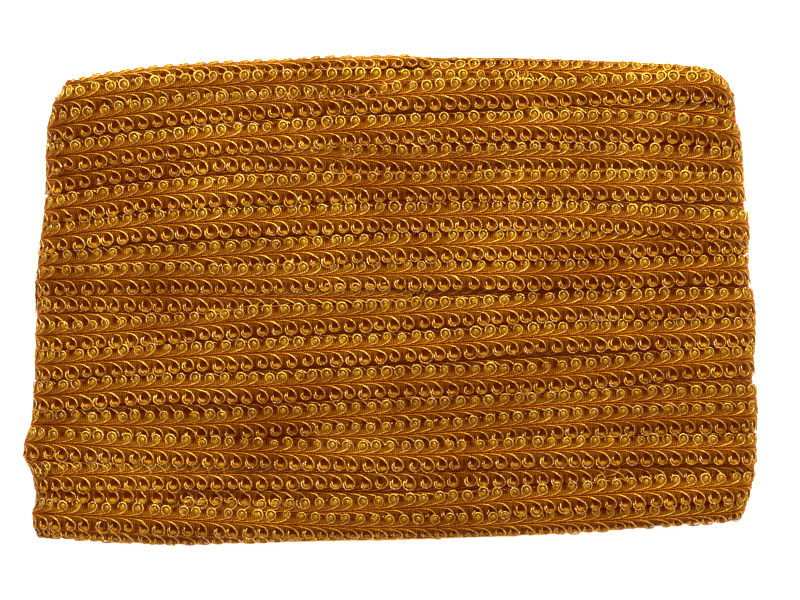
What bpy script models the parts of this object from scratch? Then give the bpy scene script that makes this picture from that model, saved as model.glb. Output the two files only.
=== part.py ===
"""A length of gold gimp braid wound flat into a bundle, lying on its back.

The bundle is wound from left to right and back. X runs along the turns, Y across them and Z up.
The origin is under the middle of the bundle, on the surface that it lies on. Sizes are in metres.
"""

import math
from collections import namedtuple

import bmesh
import bpy

MM = 0.001

BUNDLE_NAME = "gimp_braid_trim"
NODE_NAME = "wound_braid"

# The braid and the form that its turns make
THICKNESS_AT_EDGES = 15.2 * MM
CROWN = 1.3 * MM
HALF_WIDTH = 95.0 * MM
HALF_HEIGHT = 62.8 * MM
FOLD_RADIUS = 7.0 * MM
END_RADIUS = 7.5 * MM
END_CLOSING = 0.4 * MM
END_BLUNTNESS = 2.5

# How far each line of a turn stands under the turn's highest line
CREST_DEPTH = 0.0
SPINE_DEPTH = 0.4 * MM
GROOVE_DEPTH = 1.7 * MM

# Where the lines between two turns lie, as shares of the way from the upper spine to the lower one
LOWER_CREST_SHARE = 0.29
GROOVE_SHARE = 0.52
UPPER_CREST_SHARE = 0.75

# The mesh: steps along a turn on a flat face and around a fold
STEPS_ALONG = 17
STEPS_AROUND_FOLD = 6

# Places along X where the height of each turn's spine is given, in millimetres
STATIONS_MM = (-88.0, -62.0, -36.0, 2.5, 41.0, 80.0)

# Each turn, from the far side of the bundle to the near one, in millimetres. The first six columns
# are the height of its spine at the stations, then how far it reaches at each fold, and how much
# higher or lower than its neighbours it lies.
Turn = namedtuple(
    "Turn",
    "far_left left mid_left middle mid_right right reach_left reach_right lift",
)
TURNS = (
    Turn(55.6, 59.1, 61.1, 62.3, 61.7, 59.8, -85.0, 84.5, 0.0),
    Turn(50.4, 54.1, 55.3, 56.1, 57.4, 56.6, -88.0, 87.0, 0.2),
    Turn(44.8, 48.6, 50.2, 52.0, 53.3, 53.4, -88.8, 88.0, 0.0),
    Turn(37.5, 40.4, 42.7, 44.8, 45.0, 43.3, -89.2, 89.8, -0.2),
    Turn(31.3, 35.1, 37.3, 36.0, 36.8, 35.3, -89.4, 90.4, 0.1),
    Turn(23.1, 26.8, 28.3, 29.3, 29.8, 29.5, -90.0, 91.0, 0.0),
    Turn(16.1, 19.2, 20.5, 21.5, 21.9, 19.9, -90.8, 91.8, -0.1),
    Turn(9.6, 10.8, 12.2, 13.9, 14.6, 15.6, -91.6, 92.3, 0.1),
    Turn(5.0, 5.9, 6.4, 7.2, 7.6, 8.5, -91.8, 92.8, 0.4),
    Turn(0.8, 0.9, 0.9, 1.4, 3.0, 4.0, -92.0, 93.3, -0.5),
    Turn(-8.6, -7.2, -5.2, -3.6, -1.4, -0.6, -92.3, 94.2, 0.0),
    Turn(-16.4, -14.8, -13.5, -11.7, -9.2, -8.0, -92.2, 94.4, 0.1),
    Turn(-24.4, -22.4, -22.1, -20.5, -19.2, -15.9, -92.3, 94.0, 0.0),
    Turn(-30.2, -29.6, -29.0, -28.6, -26.8, -25.4, -92.8, 94.6, 0.2),
    Turn(-33.6, -34.2, -34.4, -33.8, -31.5, -30.2, -93.6, 95.0, -0.3),
    Turn(-37.4, -38.4, -38.8, -38.8, -37.9, -36.8, -95.0, 94.8, 0.1),
    Turn(-44.8, -44.4, -44.2, -44.0, -43.2, -42.6, -93.4, 94.2, -0.2),
    Turn(-49.2, -50.4, -52.0, -53.0, -50.4, -48.4, -92.2, 93.4, -0.2),
    Turn(-55.1, -56.4, -57.6, -58.6, -57.2, -55.2, -92.4, 92.0, 0.1),
)

# The outer edges of the bundle beyond its first and last turn, in the same columns
FAR_EDGE = Turn(56.2, 59.7, 61.7, 62.8, 62.2, 60.4, -83.6, 83.0, 0.0)
NEAR_EDGE = Turn(-61.0, -62.6, -62.7, -62.1, -60.7, -58.0, -90.4, 90.0, 0.0)

GOLD_BRAID = {"colour": (0.33, 0.10, 0.012, 1.0), "roughness": 0.45, "metallic": 0.6}

# One line of points along the bundle: its height at the stations, how far it reaches at each fold,
# and how deep it lies under the skin on the upper face and on the face that the bundle rests on
Line = namedtuple("Line", "heights reach_left reach_right depth depth_below")


def clear_scene():
    """Remove the objects that the file opened with."""
    for thing in list(bpy.data.objects):
        bpy.data.objects.remove(thing, do_unlink=True)


def smooth_through(values, x):
    """Height at x of the smooth curve that passes through one value at each station."""
    stations = [station * MM for station in STATIONS_MM]
    x = min(max(x, stations[0]), stations[-1])
    last = len(stations) - 2
    span = max(index for index in range(last + 1) if x >= stations[index] or index == 0)
    start, end = stations[span], stations[span + 1]

    def slope(index):
        before = max(index - 1, 0)
        after = min(index + 1, len(stations) - 1)
        return (values[after] - values[before]) / (stations[after] - stations[before])

    width = end - start
    t = (x - start) / width
    return (
        values[span] * (2 * t**3 - 3 * t**2 + 1)
        + slope(span) * width * (t**3 - 2 * t**2 + t)
        + values[span + 1] * (3 * t**2 - 2 * t**3)
        + slope(span + 1) * width * (t**3 - t**2)
    )


def line_of(turn, depth):
    """The line along one turn, as deep under the bundle's surface as given."""
    heights = [height * MM for height in turn[:len(STATIONS_MM)]]
    return Line(heights, turn.reach_left * MM, turn.reach_right * MM, depth - turn.lift * MM, 0.0)


def line_between(upper, lower, share, depth, depth_below=0.0):
    """A line between two lines, a share of the way down from the upper one."""
    heights = [a + (b - a) * share for a, b in zip(upper.heights, lower.heights)]
    left = upper.reach_left + (lower.reach_left - upper.reach_left) * share
    right = upper.reach_right + (lower.reach_right - upper.reach_right) * share
    return Line(heights, left, right, depth, depth_below)


def lines_of_bundle():
    """All lines from the near edge to the far one: a spine, a groove and two crests for each turn."""
    far = line_of(FAR_EDGE, END_CLOSING)
    near = line_of(NEAR_EDGE, END_CLOSING)
    spines = [line_of(turn, SPINE_DEPTH) for turn in TURNS]
    lines = [far]
    for upper, lower, above, below in zip(spines, spines[1:], TURNS, TURNS[1:]):
        lines.append(upper)
        lines.append(line_between(upper, lower, LOWER_CREST_SHARE, CREST_DEPTH - above.lift * MM))
        lines.append(line_between(upper, lower, GROOVE_SHARE, GROOVE_DEPTH, GROOVE_DEPTH))
        lines.append(line_between(upper, lower, UPPER_CREST_SHARE, CREST_DEPTH - below.lift * MM))
    lines.append(spines[-1])
    lines.append(line_between(spines[-1], near, 0.5, CREST_DEPTH))
    lines.append(near)
    lines.reverse()
    return lines


def height_of(line, x, on_top):
    """Where a line lies across the bundle. Underneath, it runs straight from fold to fold."""
    if on_top:
        return smooth_through(line.heights, x)
    share = (x / HALF_WIDTH + 1.0) / 2.0
    return line.heights[0] + (line.heights[-1] - line.heights[0]) * share


def rounding_at(y, x):
    """How full the bundle is at a height, with the outward direction of its skin there.

    The first value is 1 over the flat and falls to 0 at the outer edges, as a blunt ellipse does.
    The other two are the skin's outward direction along Y and Z.
    """
    far = smooth_through([value * MM for value in FAR_EDGE[:len(STATIONS_MM)]], x)
    near = smooth_through([value * MM for value in NEAR_EDGE[:len(STATIONS_MM)]], x)
    if y > far - END_RADIUS:
        lean = (y - far + END_RADIUS) / END_RADIUS
    elif y < near + END_RADIUS:
        lean = (y - near - END_RADIUS) / END_RADIUS
    else:
        lean = 0.0
    lean = min(max(lean, -0.998), 0.998)
    full = (1.0 - abs(lean) ** END_BLUNTNESS) ** (1.0 / END_BLUNTNESS)
    outward = math.copysign(abs(lean) ** (END_BLUNTNESS - 1.0), lean)
    upward = full ** (END_BLUNTNESS - 1.0)
    length = math.hypot(outward, upward)
    return full, outward / length, upward / length


def thickness_at(x, y):
    """Thickness of the bundle, a little more in the middle than at its edges."""
    across = max(0.0, 1.0 - (x / HALF_WIDTH) ** 2)
    up = max(0.0, 1.0 - (y / HALF_HEIGHT) ** 2)
    return THICKNESS_AT_EDGES + CROWN * across * up


def place(line, along, around, side_x, side_y):
    """The place of one point of the bundle's skin.

    along runs from 0 at the left fold to 1 at the right one, and around is the angle up from the
    middle of the bundle's thickness: a quarter turn on the face and less on the folds. side_x and
    side_y are -1, 0 or 1 and say on which fold and on which outer edge the point lies.
    """
    outward = math.cos(around) if abs(around) < math.pi / 2 else 0.0
    upward = math.sin(around)
    start = line.reach_left + FOLD_RADIUS
    end = line.reach_right - FOLD_RADIUS
    x = start + (end - start) * along
    fold_x = x + side_x * FOLD_RADIUS * outward
    on_top = around >= 0.0 or bool(side_x)
    y = height_of(line, fold_x, on_top)
    if side_x and around < 0.0:
        share = -math.sin(around)
        y = y + (height_of(line, fold_x, False) - y) * share
    full, lean, rise = rounding_at(y, fold_x)
    depth = line.depth if around >= 0.0 else line.depth_below
    middle = THICKNESS_AT_EDGES / 2.0
    above = (thickness_at(fold_x, y) - middle) * full
    below = middle * full
    z = middle + (above * upward if upward > 0.0 else below * upward)
    fold_x -= side_x * depth * outward
    y -= depth * lean
    z -= depth * rise * upward
    y += side_y * END_CLOSING * outward
    return fold_x, y, max(z, 0.0)


def steps_between(bm, axis, cuts):
    """Cut every edge that runs along one axis into equal steps."""
    along = []
    for edge in bm.edges:
        run = edge.verts[1].co - edge.verts[0].co
        if abs(run[axis]) > 0.5 * run.length:
            along.append(edge)
    bmesh.ops.subdivide_edges(bm, edges=along, cuts=cuts, use_grid_fill=True)


def gold_braid_material():
    """Gimp braid of metallic film yarn over a golden brown core."""
    material = bpy.data.materials.new("gold_gimp_braid")
    material.use_nodes = True
    shader = material.node_tree.nodes["Principled BSDF"]
    shader.inputs["Base Color"].default_value = GOLD_BRAID["colour"]
    shader.inputs["Roughness"].default_value = GOLD_BRAID["roughness"]
    shader.inputs["Metallic"].default_value = GOLD_BRAID["metallic"]
    return material


def wound_braid(collection):
    """The bundle's whole wound form, with each turn of braid raised as a rib that has two crests."""
    lines = lines_of_bundle()
    mesh = bpy.data.meshes.new(NODE_NAME)
    bm = bmesh.new()
    bmesh.ops.create_cube(bm, size=2.0)
    steps_between(bm, 0, STEPS_ALONG - 1)
    steps_between(bm, 1, len(lines) - 2)
    steps_between(bm, 2, STEPS_AROUND_FOLD - 1)
    for point in bm.verts:
        cube_x, cube_y, cube_z = point.co
        line = lines[round((cube_y + 1.0) / 2.0 * (len(lines) - 1))]
        along = (cube_x + 1.0) / 2.0
        around = cube_z * math.pi / 2.0
        side_x = round(cube_x) if abs(cube_x) > 0.999 else 0
        side_y = round(cube_y) if abs(cube_y) > 0.999 else 0
        point.co = place(line, along, around, side_x, side_y)
    bmesh.ops.recalc_face_normals(bm, faces=bm.faces)
    bm.to_mesh(mesh)
    bm.free()
    mesh.materials.append(gold_braid_material())
    mesh.shade_smooth()
    braid = bpy.data.objects.new(NODE_NAME, mesh)
    collection.objects.link(braid)
    return braid


def main():
    clear_scene()
    collection = bpy.data.collections.new(BUNDLE_NAME)
    bpy.context.scene.collection.children.link(collection)
    wound_braid(collection)


main()
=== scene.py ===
"""The finish of a wound bundle of gold gimp braid: every turn of looped braid, laid on the form.

Lengths are in metres. Along a turn, s runs with the braid, v across it towards the far edge and h
out of its face, with 0 at the outermost thread.
"""

import math
from collections import namedtuple

import bpy
import numpy as np
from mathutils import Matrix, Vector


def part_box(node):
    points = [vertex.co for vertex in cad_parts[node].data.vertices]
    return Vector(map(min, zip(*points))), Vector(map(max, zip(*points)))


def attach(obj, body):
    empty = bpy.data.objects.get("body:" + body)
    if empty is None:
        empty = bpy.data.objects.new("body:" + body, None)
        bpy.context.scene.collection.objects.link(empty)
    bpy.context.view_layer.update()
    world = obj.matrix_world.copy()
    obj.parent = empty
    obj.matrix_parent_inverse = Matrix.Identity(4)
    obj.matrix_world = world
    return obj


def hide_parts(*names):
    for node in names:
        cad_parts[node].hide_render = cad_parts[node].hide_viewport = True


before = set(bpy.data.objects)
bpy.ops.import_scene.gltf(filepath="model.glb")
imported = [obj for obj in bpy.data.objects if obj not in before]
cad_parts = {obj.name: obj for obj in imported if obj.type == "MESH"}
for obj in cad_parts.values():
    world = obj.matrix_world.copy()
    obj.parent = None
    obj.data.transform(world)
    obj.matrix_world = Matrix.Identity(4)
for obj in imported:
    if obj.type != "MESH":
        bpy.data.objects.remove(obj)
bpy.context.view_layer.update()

bl_info = {
    "name": "Wound Gimp Braid",
    "version": (1, 0, 0),
    "blender": (4, 5, 0),
    "location": "3D Viewport > Sidebar > Braid",
    "description": "Lays looped metallic gimp braid in turns on a wound bundle",
    "category": "Add Mesh",
}

MM = 0.001
NODE = "wound_braid"
BODY = "root"
SEED = 41

# The wound form, as the solid has it
HALF_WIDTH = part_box(NODE)[1][0]
HALF_HEIGHT = 62.8 * MM
THICKNESS_AT_EDGES = 15.2 * MM
MIDDLE = THICKNESS_AT_EDGES / 2.0
CROWN = 1.3 * MM
FOLD_RADIUS = 7.0 * MM
END_RADIUS = 7.5 * MM
END_BLUNTNESS = 2.5
END_STEPS = 181
MOST_LEAN = 0.9995

# Length of half a fold, which is a quarter of an oval
FOLD_HALF = math.pi / 2.0 * math.hypot(FOLD_RADIUS, MIDDLE) / math.sqrt(2.0)

# The braid: half its width, how far from its spine the loops' middles lie, and its ribs. The real
# wraps of the core are finer than the camera shows, so they are drawn as coarse as this
HALF_BRAID = 4.0 * MM
LOOP_MIDDLE = 2.5 * MM
RIBS_PER_PITCH = 8

# How loosely each loop is thrown: spread of its turn, its size and its place, which grows from
# the plaited spine outwards
TURN_SPREAD = 0.20
SIZE_SPREAD = 0.10
PLACE_SPREAD = np.array((0.26, 0.17, 0.10)) * MM
FIXED_WITHIN = 0.4 * MM
LOOSE_BEYOND = 1.5 * MM

# How far a turn stands over the skin, and the level in the braid that the rest is pressed towards
# at a fold
PROUD = 0.2 * MM
FOLD_LEVEL = -0.3 * MM

# The share of its value on the flat faces that each of these keeps at a fold
THICKNESS_AT_FOLD = 0.5
DIP_AT_FOLD = 0.4
LEAN_AT_FOLD = 0.2
DEPTH_AT_FOLD = 0.55
FOLD_FROM = 0.2

# A turn's slow wander up and down, and how far it faces down where its underside starts
WANDER_HEIGHT = 0.12 * MM
WANDER_LENGTHS = (26.0 * MM, 70.0 * MM)
UPPER_UNTIL = 0.6

# Turns nearer than their full spacing sink on each other's edges: how much for each unit that is
# missing, the most, and how much of it the next turn makes up
FULL_SPACING = 7.8 * MM
CROWDING = 0.22
MOST_CROWDED = 0.95 * MM
MADE_UP = 0.45 * MM
HIDDEN_DEPTH = 1.0 * MM

# The step over which slopes are measured, and the steepest that a turn's spine counts as
PROBE = 0.2 * MM
STEEPEST = 0.4

# How far the body of inner layers lies under the skin: on its faces, its edges and its folds
BODY_DEPTH = 2.6 * MM
BODY_EDGE_DEPTH = 2.2 * MM
BODY_FOLD_DEPTH = 1.8 * MM
BODY_CUTS = 23
BODY_CORNER = 0.35

# Places along X where the height of each turn's spine is given, and their names
STATIONS = np.array((-88.0, -62.0, -36.0, 2.5, 41.0, 80.0, 92.0)) * MM
STATION_NAMES = "far_left left mid_left middle mid_right right far_right "

# Each outer turn, from the far side to the near one, in millimetres: the height of its spine at
# the stations, and how far it reaches at each fold
Turn = namedtuple("Turn", STATION_NAMES + "reach_left reach_right")
TURNS = (
    Turn(55.2, 59.6, 61.3, 62.9, 62.4, 60.5, 56.6, -84.3, 84.0),
    Turn(53.6, 57.0, 58.4, 59.0, 59.0, 58.0, 55.2, -85.4, 87.2),
    Turn(50.5, 53.8, 55.3, 55.8, 55.8, 56.4, 53.6, -87.6, 87.8),
    Turn(44.2, 48.2, 50.4, 52.5, 53.5, 55.1, 52.2, -89.0, 89.0),
    Turn(36.5, 39.7, 41.9, 44.1, 45.0, 43.7, 41.1, -89.2, 90.7),
    Turn(31.3, 35.1, 37.3, 36.0, 36.8, 35.9, 34.5, -89.2, 91.4),
    Turn(23.1, 26.8, 28.3, 29.3, 29.8, 29.5, 29.5, -89.5, 91.6),
    Turn(16.1, 19.2, 20.5, 21.5, 21.9, 19.9, 19.6, -90.6, 92.8),
    Turn(8.9, 10.3, 11.8, 13.9, 14.6, 15.8, 16.0, -91.2, 93.0),
    Turn(5.3, 5.8, 5.8, 6.8, 6.8, 8.1, 8.3, -91.8, 92.8),
    Turn(1.4, 1.2, 0.9, 0.8, 2.6, 3.6, 3.8, -92.0, 93.3),
    Turn(-9.0, -7.4, -5.2, -3.4, -1.4, -0.4, -0.2, -92.3, 94.2),
    Turn(-16.4, -14.8, -13.5, -11.7, -9.2, -8.0, -7.8, -92.2, 94.4),
    Turn(-24.4, -22.4, -22.1, -20.5, -19.2, -15.6, -15.0, -92.3, 94.0),
    Turn(-31.8, -32.0, -31.1, -29.0, -26.8, -25.4, -25.2, -92.8, 94.6),
    Turn(-33.6, -34.4, -35.0, -34.4, -31.5, -29.9, -29.7, -93.6, 95.0),
    Turn(-36.4, -37.8, -38.6, -39.5, -38.3, -37.8, -37.7, -94.6, 94.8),
    Turn(-44.8, -44.4, -44.2, -44.0, -43.2, -42.6, -42.5, -92.6, 94.8),
    Turn(-51.6, -53.4, -54.6, -53.3, -50.4, -47.9, -47.5, -91.4, 93.4),
    Turn(-54.6, -55.7, -57.0, -58.3, -57.1, -55.1, -53.8, -92.6, 92.0),
    Turn(-58.2, -59.8, -60.6, -60.9, -59.7, -56.9, -55.9, -92.4, 90.8),
)
FAR_EDGE = Turn(56.8, 60.4, 62.1, 63.5, 63.1, 61.0, 57.3, -83.4, 83.2)
NEAR_EDGE = Turn(-61.4, -63.1, -62.8, -62.1, -60.7, -57.7, -56.9, -91.0, 90.4)

# The pass underneath that comes before the first turn, from the right to the left
LEAD_IN = Turn(57.0, 60.2, 60.8, 61.2, 59.6, 56.4, 53.0, -84.6, 83.2)

# Where a turn dives under its neighbours, or rides over them where its depth is below 0, in
# millimetres: the turn's place in the list, or minus its place among the sunken turns, from and to
# which X, how deep, and how much less its near side is raised for each unit of width
Dip = namedtuple("Dip", "turn from_x to_x depth tilt", defaults=(0.0,))
DIPS = (
    Dip(-13, -48.0, 120.0, 1.3),
    Dip(-1, 48.0, 120.0, 0.4),
    Dip(1, -120.0, 0.0, 0.5, 0.25),
    Dip(1, -120.0, -82.0, 0.3),
    Dip(1, 16.0, 120.0, 2.2),
    Dip(2, -120.0, 2.0, 1.6),
    Dip(2, 14.0, 120.0, 0.5, 0.2),
    Dip(3, -120.0, -4.0, -0.35, 0.2),
    Dip(3, 8.0, 28.0, 0.3, 0.2),
    Dip(3, 46.0, 120.0, 1.3, 0.1),
    Dip(4, -120.0, -10.0, -0.4, 0.12),
    Dip(4, 4.0, 30.0, -0.7),
    Dip(4, 4.0, 120.0, -0.9, 0.1),
    Dip(5, 20.0, 60.0, -0.5),
    Dip(5, 54.0, 120.0, -0.5, 0.2),
    Dip(6, -30.0, 120.0, 0.3, 0.2),
    Dip(7, -30.0, 120.0, -0.3, 0.1),
    Dip(9, -120.0, -28.0, 0.1, 0.2),
    Dip(10, -120.0, -28.0, -0.7, 0.2),
    Dip(11, -36.0, -2.0, 0.3, 0.2),
    Dip(11, 8.0, 120.0, 1.5),
    Dip(12, -36.0, 6.0, -0.7, 0.15),
    Dip(14, -20.0, 120.0, 0.1, 0.12),
    Dip(15, -120.0, 120.0, 0.1, 0.2),
    Dip(16, -120.0, -28.0, 1.6),
    Dip(16, -16.0, 120.0, -0.6, 0.2),
    Dip(17, -120.0, 40.0, -0.95, 0.06),
    Dip(18, 56.0, 120.0, 1.5),
    Dip(19, -120.0, -26.0, 1.6),
    Dip(19, -14.0, 24.0, 0.2, 0.15),
    Dip(20, -14.0, 20.0, -0.5, 0.15),
    Dip(21, -120.0, -30.0, -0.4),
    Dip(21, -18.0, 120.0, 0.5),
)
DIP_RUN = 12.0 * MM

# Turns of the layer beneath that show in the gaps, in millimetres: the height of the spine at the
# stations, from and to which X the turn is laid, and how deep
Sunken = namedtuple("Sunken", STATION_NAMES + "from_x to_x depth")
SUNKEN_TURNS = (
    Sunken(46.5, 45.6, 46.5, 48.2, 50.0, 47.9, 45.5, 34.0, 96.0, 1.0),
    Sunken(41.0, 44.0, 46.4, 48.0, 49.0, 49.0, 49.0, -95.0, 40.0, 1.55),
    Sunken(35.5, 37.5, 39.0, 41.2, 42.3, 41.0, 39.0, -14.0, 62.0, 0.9),
    Sunken(27.0, 30.8, 32.6, 33.0, 33.2, 33.0, 33.0, -95.0, 40.0, 1.55),
    Sunken(19.8, 23.0, 24.6, 25.4, 26.0, 24.8, 24.6, -95.0, 96.0, 1.55),
    Sunken(13.0, 15.0, 16.2, 17.6, 18.2, 18.0, 18.0, -95.0, 96.0, 1.55),
    Sunken(-3.4, -2.8, -2.0, -1.2, 1.0, 12.0, 13.7, -95.0, 10.0, 1.4),
    Sunken(-12.6, -11.0, -9.6, -7.6, -5.4, -4.2, -4.0, -95.0, 96.0, 1.55),
    Sunken(-20.4, -18.8, -17.8, -16.2, -14.2, -11.8, -11.4, -95.0, 96.0, 1.55),
    Sunken(-28.0, -26.4, -26.2, -24.6, -23.0, -20.4, -20.0, -95.0, 96.0, 1.55),
    Sunken(-40.0, -41.0, -42.0, -42.4, -35.0, -33.8, -33.6, 10.0, 96.0, 1.55),
    Sunken(-41.0, -41.2, -41.0, -40.0, -38.0, -36.0, -35.7, -95.0, -44.0, 0.85),
    Sunken(-47.4, -47.8, -48.4, -49.2, -47.0, -43.0, -42.4, -95.0, 60.0, 0.7),
    Sunken(56.8, 60.4, 62.1, 63.5, 63.1, 61.0, 57.3, -95.0, 96.0, 1.1),
    Sunken(-61.0, -62.6, -62.7, -62.1, -60.7, -57.6, -56.8, -83.0, 83.0, 0.6),
)

# How much of a fold a sunken turn goes round at the left, and leaves out at the right, and where
# the lead-in starts at the right
SUNKEN_LEFT = 0.7 * FOLD_HALF
SUNKEN_RIGHT = 0.3 * FOLD_HALF
LEAD_IN_START = 1.3 * FOLD_HALF

# A place in the left fold where it bulges between two turns: its height and how far out it is
LEFT_BULGE = (-40.0 * MM, -95.3 * MM)


def sizes():
    return bpy.context.scene.braid_sizes


def along_stations(values, x):
    """Heights at every x of the smooth curve that passes through one value at each station."""
    values = np.asarray(values, dtype=float)
    x = np.clip(x, STATIONS[0], STATIONS[-1])
    span = np.clip(np.searchsorted(STATIONS, x, side="right") - 1, 0, len(STATIONS) - 2)
    before = np.maximum(np.arange(len(STATIONS)) - 1, 0)
    after = np.minimum(np.arange(len(STATIONS)) + 1, len(STATIONS) - 1)
    slopes = (values[after] - values[before]) / (STATIONS[after] - STATIONS[before])
    width = STATIONS[span + 1] - STATIONS[span]
    t = (x - STATIONS[span]) / width
    return (
        values[span] * (2 * t**3 - 3 * t**2 + 1)
        + slopes[span] * width * (t**3 - 2 * t**2 + t)
        + values[span + 1] * (3 * t**2 - 2 * t**3)
        + slopes[span + 1] * width * (t**3 - t**2)
    )


def smooth_step(value, start, end):
    share = np.clip((value - start) / (end - start), 0.0, 1.0)
    return share * share * (3.0 - 2.0 * share)


def spine_heights(turn):
    return np.array(turn[: len(STATIONS)]) * MM


FAR_HEIGHTS = spine_heights(FAR_EDGE)
NEAR_HEIGHTS = spine_heights(NEAR_EDGE)


def end_rounding():
    """The skin's run over a rounded edge: distance along it, lean outwards and fullness."""
    angle = np.linspace(0.0, math.pi / 2.0, END_STEPS)
    lean = np.sin(angle) ** (2.0 / END_BLUNTNESS)
    full = np.cos(angle) ** (2.0 / END_BLUNTNESS)
    steps = np.hypot(np.diff(lean) * END_RADIUS, np.diff(full) * MIDDLE)
    return np.concatenate(((0.0,), np.cumsum(steps))), lean, full


ROUND_RUN, ROUND_LEAN, ROUND_FULL = end_rounding()


def flat_between(x):
    """The heights of the far and the near edge, where the skin starts to round over."""
    far = along_stations(FAR_HEIGHTS, x) - END_RADIUS
    return far, along_stations(NEAR_HEIGHTS, x) + END_RADIUS


def across_of(y, x):
    """Distance across the bundle's skin, from its middle, of a height on the upper face."""
    far, near = flat_between(x)
    past = np.where(y > far, y - far, np.where(y < near, near - y, 0.0)) / END_RADIUS
    run = np.interp(np.minimum(past, MOST_LEAN), ROUND_LEAN, ROUND_RUN)
    return np.where(y > far, far + run, np.where(y < near, near - run, y))


def skin_height(across, x):
    """Height and fullness of the skin at a distance across it. Fullness is 1 on the flat."""
    far, near = flat_between(x)
    past = np.maximum(np.maximum(across - far, near - across), 0.0)
    under = past > ROUND_RUN[-1]
    past = np.where(under, 2.0 * ROUND_RUN[-1] - past, past)
    lean = np.interp(past, ROUND_RUN, ROUND_LEAN) * END_RADIUS
    full = np.interp(past, ROUND_RUN, ROUND_FULL)
    y = np.where(across > far, far + lean, np.where(across < near, near - lean, across))
    return y, np.where(under, -full, full)


def fold_line(side, bulge=None):
    """The line of one fold seen from above: heights, from the near edge, and how far out."""
    turns = (NEAR_EDGE, *reversed(TURNS), FAR_EDGE)
    reaches = [getattr(turn, side) * MM for turn in turns]
    heights = [along_stations(spine_heights(turn), reach) for turn, reach in zip(turns, reaches)]
    heights = list(np.maximum.accumulate(heights))
    if bulge is not None:
        height, reach = bulge
        place = int(np.searchsorted(heights, height))
        heights.insert(place, height)
        reaches.insert(place, reach)
    return np.array(heights), np.array(reaches)


LEFT_FOLD = fold_line("reach_left", LEFT_BULGE)
RIGHT_FOLD = fold_line("reach_right")


def crown_at(x, y):
    """How far the upper face stands over its edges."""
    share = np.maximum(0.0, 1.0 - (x / HALF_WIDTH) ** 2)
    return CROWN * share * np.maximum(0.0, 1.0 - (y / HALF_HEIGHT) ** 2)


def eased(up, at_fold):
    """A share that is 1 on the flat faces and falls to its value at a fold."""
    return at_fold + (1.0 - at_fold) * smooth_step(np.abs(up), FOLD_FROM, 1.0)


class Path:
    """One turn's way round the bundle, from the middle of the left fold back to it."""

    def __init__(self, heights, next_heights, reach_left, reach_right, next_reach_left):
        self.heights = heights
        self.reaches = (reach_left, reach_right, next_reach_left)
        self.start = reach_left + FOLD_RADIUS
        self.end = reach_right - FOLD_RADIUS
        self.back = next_reach_left + FOLD_RADIUS
        self.fold_height = along_stations(heights, reach_right)
        self.last_height = along_stations(next_heights, next_reach_left)
        self.top_from = FOLD_HALF
        self.top_to = self.top_from + self.end - self.start
        self.under_from = self.top_to + 2.0 * FOLD_HALF
        self.under_to = self.under_from + self.end - self.back
        self.length = self.under_to + FOLD_HALF

    def place(self, s):
        """X and how far up or down the skin faces, from 1 on the upper face to -1 underneath."""
        quarter = math.pi / 2.0 / FOLD_HALF
        first = np.clip(s, -FOLD_HALF, self.top_from) * quarter
        right = math.pi / 2.0 - np.clip(s - self.top_to, 0.0, 2.0 * FOLD_HALF) * quarter
        last = np.clip(s - self.under_to, 0.0, 2.0 * FOLD_HALF) * quarter - math.pi / 2.0
        ends = (self.top_from, self.top_to, self.under_from, self.under_to)
        parts = [s <= end for end in ends]
        ways = (
            self.start - FOLD_RADIUS * np.cos(first),
            self.start + s - self.top_from,
            self.end + FOLD_RADIUS * np.cos(right),
            self.end - (s - self.under_from),
        )
        x = np.select(parts, ways, self.back - FOLD_RADIUS * np.cos(last))
        up = np.select(parts, (np.sin(first), 1.0, np.sin(right), -1.0), np.sin(last))
        return x, up

    def spine(self, s):
        """Distance across the skin of the spine at s."""
        x, _ = self.place(s)
        y = along_stations(self.heights, x)
        share = smooth_step(s, self.under_from, self.under_to)
        below = self.fold_height + (self.last_height - self.fold_height) * share
        y = np.where(s > self.top_to + FOLD_HALF, below, y)
        return across_of(y, x)

    def skin(self, s, across):
        x, up = self.place(s)
        y, full = skin_height(across, x)
        left, right, last = self.reaches
        out_left = np.interp(y, *LEFT_FOLD) - np.where(s > self.under_to, last, left)
        out_right = np.interp(y, *RIGHT_FOLD) - right
        x = x + np.where(x < 0.0, out_left, out_right) * np.sqrt(np.maximum(1.0 - up**2, 0.0))
        facing = up * full
        z = MIDDLE + np.where(facing > 0.0, MIDDLE + crown_at(x, y), MIDDLE) * facing
        return np.stack((x, y, z), axis=-1)

    def lay(self, points, rise):
        """Points in the braid's own (s, v, h) laid on the skin, with rise(s, v) added to h."""
        s, v, h = points.T
        _, up = self.place(s)
        h = FOLD_LEVEL + (h - FOLD_LEVEL) * eased(up, THICKNESS_AT_FOLD)
        slope = (self.spine(s + PROBE) - self.spine(s - PROBE)) / (2.0 * PROBE)
        s = s - v * np.clip(slope, -STEEPEST, STEEPEST)
        across = self.spine(s) + v
        middle = self.skin(s, across)
        along = self.skin(s + PROBE, across) - self.skin(s - PROBE, across)
        over = self.skin(s, across + PROBE) - self.skin(s, across - PROBE)
        outward = np.cross(along, over)
        outward /= np.maximum(np.linalg.norm(outward, axis=-1, keepdims=True), 1e-12)
        laid = middle + outward * (h + rise(s, v))[:, None]
        laid[:, 2] = np.maximum(laid[:, 2], 0.0)
        return laid


def path_of(turn, after):
    """The way of one outer turn, to the start of the next."""
    reaches = (turn.reach_left * MM, turn.reach_right * MM, after.reach_left * MM)
    return Path(spine_heights(turn), spine_heights(after), *reaches)


def linear_from_hex(text):
    """Linear red, green and blue of an sRGB hex colour."""
    shares = [int(text[start : start + 2], 16) / 255.0 for start in (1, 3, 5)]
    return tuple(v / 12.92 if v <= 0.04045 else ((v + 0.055) / 1.055) ** 2.4 for v in shares)


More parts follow.
